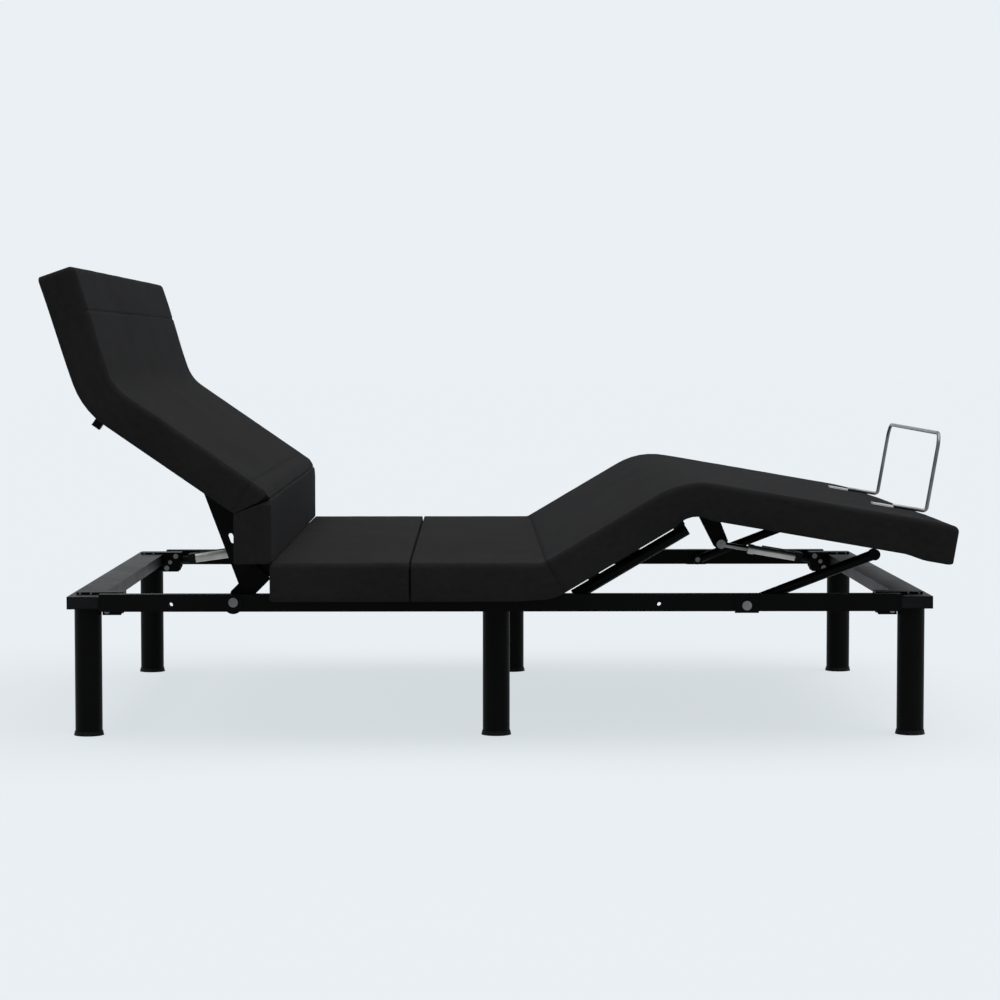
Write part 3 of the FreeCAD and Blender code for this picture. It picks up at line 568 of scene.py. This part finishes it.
def ramp_node(tree, value, stops):
    """A colour ramp; stops are (position, colour)."""
    node = add_node(tree, "ShaderNodeValToRGB")
    elements = node.color_ramp.elements
    while len(elements) < len(stops):
        elements.new(0.5)
    for element, (position, colour) in zip(elements, stops):
        element.position = position
        element.color = (*colour, 1.0)
    join(tree, value, node.inputs["Fac"])
    return node.outputs["Color"]


def range_node(tree, value, low, high, start=0.0, end=1.0):
    """A value moved from start..end to low..high."""
    node = add_node(tree, "ShaderNodeMapRange",
                    {"From Min": start, "From Max": end, "To Min": low, "To Max": high})
    join(tree, value, node.inputs["Value"])
    return node.outputs["Result"]


def bump_node(tree, height, strength, distance, before=None):
    """A bump from a height in metres."""
    node = add_node(tree, "ShaderNodeBump", {"Strength": strength, "Distance": distance})
    join(tree, height, node.inputs["Height"])
    if before is not None:
        join(tree, before, node.inputs["Normal"])
    return node.outputs["Normal"]


def object_position(tree):
    """Object coordinates, in metres."""
    return add_node(tree, "ShaderNodeTexCoord").outputs["Object"]


def weave_height(tree, cloth):
    """Height of the over and under threads of a plain weave."""
    parts = add_node(tree, "ShaderNodeSeparateXYZ")
    join(tree, cloth, parts.inputs["Vector"])
    turns = 2 * math.pi / THREAD_PITCH
    warp = math_node(tree, "SINE", math_node(tree, "MULTIPLY", parts.outputs["X"], turns))
    weft = math_node(tree, "SINE", math_node(tree, "MULTIPLY", parts.outputs["Y"], turns))
    return math_node(tree, "MULTIPLY", warp, weft)


def upholstery_material():
    """Charcoal woven cover: fine weave, uneven yarn, broad mottling and a soft sheen."""
    material, tree, shader = new_material("upholstery_weave")
    cloth = add_node(tree, "ShaderNodeAttribute", attribute_name="cloth_position").outputs["Vector"]
    weave = weave_height(tree, cloth)
    yarn = noise_node(tree, cloth, 420, 2.0)
    slub = noise_node(tree, cloth, 70, 4.0, 0.6)
    cloud = noise_node(tree, cloth, 5.5, 3.0, 0.55)
    tone = math_node(tree, "ADD", math_node(tree, "MULTIPLY", slub, 0.5),
                     math_node(tree, "MULTIPLY", cloud, 0.5))
    tone = math_node(tree, "ADD", tone, math_node(tree, "MULTIPLY", weave, 0.10))
    colour = ramp_node(tree, tone, ((0.25, (0.0062, 0.0060, 0.0060)), (0.75, (0.0121, 0.0116, 0.0115))))
    join(tree, colour, shader.inputs["Base Color"])
    join(tree, range_node(tree, slub, 0.82, 0.97), shader.inputs["Roughness"])
    shader.inputs["Specular IOR Level"].default_value = 0.015
    shader.inputs["Sheen Weight"].default_value = 0.006
    shader.inputs["Sheen Roughness"].default_value = 0.45
    shader.inputs["Sheen Tint"].default_value = (0.82, 0.86, 1.0, 1.0)
    height = math_node(tree, "ADD", math_node(tree, "MULTIPLY", weave, 0.5),
                       math_node(tree, "MULTIPLY", yarn, 0.8))
    fine = bump_node(tree, height, 0.35, 0.0004)
    broad = bump_node(tree, noise_node(tree, cloth, 34, 3.0), 0.25, 0.0016, fine)
    join(tree, broad, shader.inputs["Normal"])
    return material


def dust_cover_material():
    """Black non-woven cover on the undersides, with a pressed dimple pattern."""
    material, tree, shader = new_material("dust_cover_felt")
    cloth = add_node(tree, "ShaderNodeAttribute", attribute_name="cloth_position").outputs["Vector"]
    dimples = add_node(tree, "ShaderNodeTexVoronoi", {"Scale": 620.0, "Randomness": 0.25})
    join(tree, cloth, dimples.inputs["Vector"])
    fibres = noise_node(tree, cloth, 160, 4.0, 0.7)
    colour = ramp_node(tree, fibres, ((0.3, (0.004, 0.004, 0.0042)), (0.7, (0.008, 0.008, 0.0084))))
    join(tree, colour, shader.inputs["Base Color"])
    shader.inputs["Specular IOR Level"].default_value = 0.015
    join(tree, range_node(tree, fibres, 0.8, 0.98), shader.inputs["Roughness"])
    join(tree, bump_node(tree, dimples.outputs["Distance"], 0.3, 0.0005), shader.inputs["Normal"])
    return material


def coated_steel_material(name, low, high, roughness):
    """Powder-coated steel: fine orange peel, slight patches, dust in the broad noise."""
    material, tree, shader = new_material(name)
    spot = object_position(tree)
    patches = noise_node(tree, spot, 9, 4.0, 0.6)
    peel = noise_node(tree, spot, 900, 2.0)
    colour = ramp_node(tree, patches, ((0.3, low), (0.75, high)))
    join(tree, colour, shader.inputs["Base Color"])
    join(tree, range_node(tree, patches, roughness - 0.07, roughness + 0.09), shader.inputs["Roughness"])
    shader.inputs["Specular IOR Level"].default_value = 0.04
    join(tree, bump_node(tree, peel, 0.18, 0.0003), shader.inputs["Normal"])
    return material


def moulded_plastic_material():
    """Matte black moulded plastic with a spark-eroded grain."""
    material, tree, shader = new_material("moulded_plastic")
    spot = object_position(tree)
    grain = noise_node(tree, spot, 1400, 3.0, 0.6)
    tone = noise_node(tree, spot, 30, 2.0)
    colour = ramp_node(tree, tone, ((0.3, (0.0025, 0.0025, 0.0026)), (0.7, (0.0045, 0.0045, 0.0047))))
    join(tree, colour, shader.inputs["Base Color"])
    shader.inputs["Specular IOR Level"].default_value = 0.08
    join(tree, range_node(tree, grain, 0.5, 0.68), shader.inputs["Roughness"])
    join(tree, bump_node(tree, grain, 0.3, 0.0002), shader.inputs["Normal"])
    return material


def bright_metal_material(name, low, high, roughness, stretch):
    """Bare or plated metal with brushing along one direction and faint smears."""
    material, tree, shader = new_material(name)
    spot = object_position(tree)
    mapping = add_node(tree, "ShaderNodeMapping", {"Scale": stretch})
    join(tree, spot, mapping.inputs["Vector"])
    brushing = noise_node(tree, mapping.outputs["Vector"], 260, 3.0, 0.6)
    smears = noise_node(tree, spot, 24, 3.0)
    colour = ramp_node(tree, smears, ((0.3, low), (0.7, high)))
    join(tree, colour, shader.inputs["Base Color"])
    shader.inputs["Metallic"].default_value = 1.0
    join(tree, range_node(tree, brushing, roughness - 0.08, roughness + 0.12), shader.inputs["Roughness"])
    join(tree, bump_node(tree, brushing, 0.12, 0.0002), shader.inputs["Normal"])
    return material


MATERIALS = {
    "upholstery": upholstery_material(),
    "dust_cover": dust_cover_material(),
    "black_steel": coated_steel_material("powder_coat", (0.0009, 0.00085, 0.0008),
                                         (0.002, 0.0019, 0.0018), 0.42),
    "hinge_steel": coated_steel_material("hinge_coat", (0.003, 0.003, 0.003), (0.006, 0.006, 0.006), 0.36),
    "black_plastic": moulded_plastic_material(),
    "actuator_tube": bright_metal_material("satin_aluminium", (0.30, 0.295, 0.28), (0.42, 0.41, 0.39), 0.36,
                                           (0.08, 1.0, 1.0)),
    "actuator_rod": bright_metal_material("rod_steel", (0.12, 0.12, 0.12), (0.2, 0.2, 0.2), 0.3,
                                          (1.0, 1.0, 0.1)),
    "bolt_steel": bright_metal_material("zinc_plate", (0.10, 0.10, 0.105), (0.2, 0.2, 0.2), 0.45,
                                        (1.0, 1.0, 1.0)),
    "retainer_wire": bright_metal_material("gunmetal_wire", (0.10, 0.10, 0.105), (0.2, 0.2, 0.2), 0.33,
                                           (1.0, 0.1, 1.0)),
    "clip_steel": bright_metal_material("clip_plate", (0.7, 0.7, 0.7), (0.85, 0.85, 0.84), 0.25,
                                        (0.2, 1.0, 1.0)),
}


def paint_cad_nodes():
    """Every CAD node that stays in view takes the material of its slot in the record."""
    for row in frame["record"]["subparts"]:
        node = frame["nodes"][row["node"]]
        slot = row["material_slot"]
        if slot not in MATERIALS:
            continue
        node.data.materials.clear()
        node.data.materials.append(MATERIALS[slot])


# ---------------------------------------------------------------- light, floor and camera

BACKGROUND = (0.823, 0.871, 0.905)
CAMERA_LENS = 97.8
CAMERA_PLACE = (-0.0568, -6.048, 0.781)
CAMERA_HEADING = 0.588
CAMERA_PITCH = -3.16
FLOOR_REACH = 60.0
SUN_SPREAD = 75
FLOOR_SHARE = 0.095
SUN_STRENGTH = 3.6
SUN_LEAN = 12.0


def make_floor():
    """A pale floor whose lit colour equals the background's, so that no horizon shows."""
    mesh = bpy.data.meshes.new("floor")
    corners = [(x * FLOOR_REACH, y * FLOOR_REACH, 0) for x, y in ((-1, -1), (1, -1), (1, 1), (-1, 1))]
    mesh.from_pydata(corners, [], [(0, 1, 2, 3)])
    floor = bpy.data.objects.new("floor", mesh)
    bpy.context.scene.collection.objects.link(floor)
    material, tree, shader = new_material("studio_floor")
    shader.inputs["Base Color"].default_value = (FLOOR_SHARE, FLOOR_SHARE, FLOOR_SHARE, 1.0)
    shader.inputs["Roughness"].default_value = 1.0
    shader.inputs["Specular IOR Level"].default_value = 0.0
    sun = SUN_STRENGTH / math.pi
    glow = [value - FLOOR_SHARE * (value + sun) for value in BACKGROUND]
    shader.inputs["Emission Color"].default_value = (*glow, 1.0)
    shader.inputs["Emission Strength"].default_value = 1.0
    floor.data.materials.append(material)
    return floor


def make_light():
    """A pale room and one very soft overhead light that leans from the foot end."""
    world = bpy.data.worlds.new("room")
    world.use_nodes = True
    background = world.node_tree.nodes["Background"]
    background.inputs["Color"].default_value = (*BACKGROUND, 1.0)
    background.inputs["Strength"].default_value = 1.0
    bpy.context.scene.world = world
    light = bpy.data.lights.new("overhead", "SUN")
    light.energy = SUN_STRENGTH
    light.angle = math.radians(SUN_SPREAD)
    lamp = bpy.data.objects.new("overhead", light)
    lamp.rotation_euler = (0.0, math.radians(SUN_LEAN), 0.0)
    bpy.context.scene.collection.objects.link(lamp)
    return lamp


def make_camera():
    """The camera stands low in front of the bed's right side and looks slightly down."""
    data = bpy.data.cameras.new("camera")
    data.lens = CAMERA_LENS
    data.sensor_width = 36.0
    data.dof.use_dof = False
    camera = bpy.data.objects.new("camera", data)
    bpy.context.scene.collection.objects.link(camera)
    camera.location = CAMERA_PLACE
    heading = math.radians(CAMERA_HEADING)
    pitch = math.radians(CAMERA_PITCH)
    level = math.cos(pitch)
    view = Vector((math.sin(heading) * level, math.cos(heading) * level, math.sin(pitch)))
    camera.rotation_euler = view.to_track_quat("-Z", "Y").to_euler()
    bpy.context.scene.camera = camera
    return camera


bpy.context.scene.view_settings.view_transform = "Standard"
make_camera()
make_light()
make_floor()
paint_cad_nodes()
make_back_pad()
make_back_gusset()
make_lumbar_pad()
make_seat_pads()
make_leg_pad()
